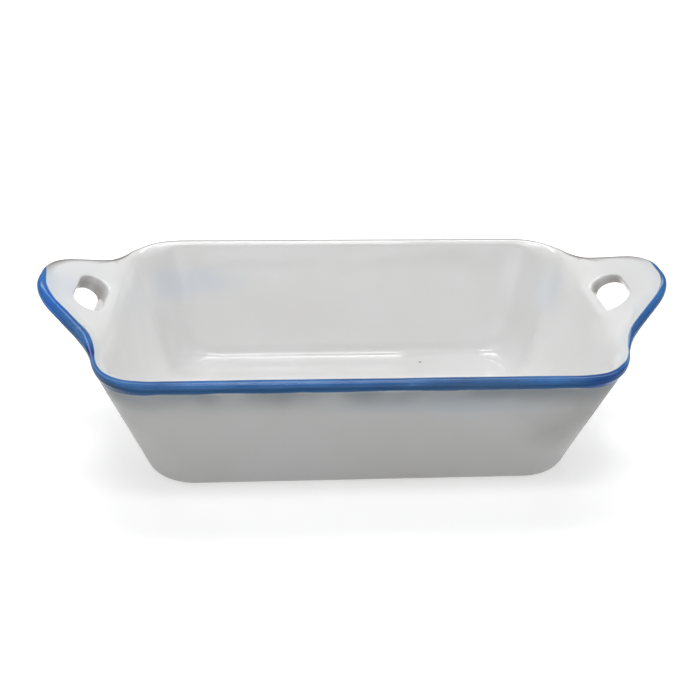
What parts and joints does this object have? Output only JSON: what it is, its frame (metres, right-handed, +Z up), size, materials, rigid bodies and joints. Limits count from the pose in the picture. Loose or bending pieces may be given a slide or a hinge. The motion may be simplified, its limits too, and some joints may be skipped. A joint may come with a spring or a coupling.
{
  "type": "loaf pan",
  "caption": "Rectangular stoneware loaf pan with sides that lean outwards, white glaze, a blue band round its rolled rim, and an upturned, pierced handle at each end.",
  "frame": {"origin": "middle of the foot ring, on the surface that the pan stands on", "axes": "+X along the pan to the right-hand handle, +Y to the back, +Z up"},
  "size_m": [0.301, 0.153, 0.0847],
  "materials": {
    "stoneware": "bare fired clay, matte",
    "white_glaze": "gloss",
    "blue_glaze": "gloss, brushed on"
  },
  "bodies": {
    "root": {"tub": "stoneware", "left_handle": "stoneware", "right_handle": "stoneware", "foot_ring": "stoneware", "inner_glaze": "white_glaze", "outer_glaze": "white_glaze", "base_glaze": "white_glaze", "rim_band": "blue_glaze"}
  },
  "joints": []
}
